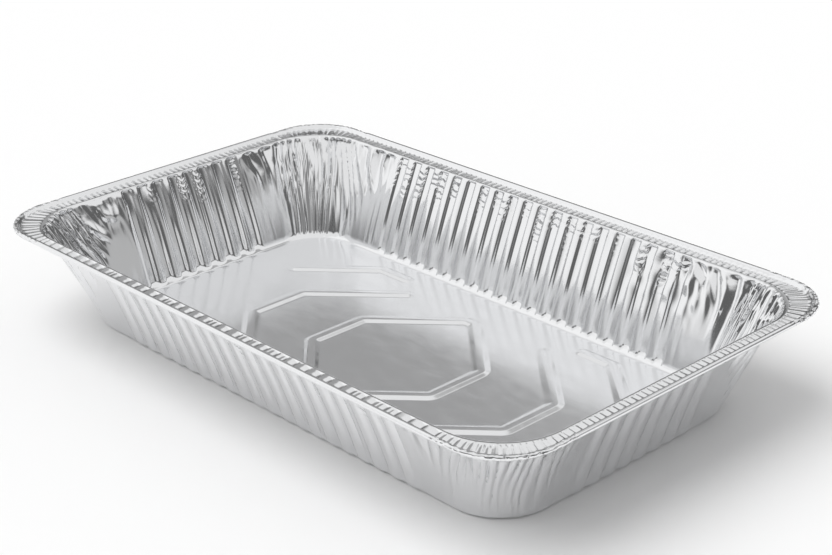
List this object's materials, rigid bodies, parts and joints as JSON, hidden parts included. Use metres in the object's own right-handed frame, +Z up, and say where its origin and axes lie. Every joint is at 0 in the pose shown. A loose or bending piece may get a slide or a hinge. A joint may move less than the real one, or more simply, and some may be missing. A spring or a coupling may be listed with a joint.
{
  "type": "aluminium foil tray",
  "caption": "Full-size rectangular foil tray with fluted sloping walls, gathered corners, a reeded flange with a rolled rim, and raised ridges on the floor.",
  "frame": {"origin": "centre of the underside of the base", "axes": "+X along the length, +Y along the width, +Z up through the open top"},
  "size_m": [0.527, 0.325, 0.079],
  "materials": {
    "foil": "bright satin rolled foil"
  },
  "bodies": {
    "root": {"foil_tray": "foil"}
  },
  "joints": []
}
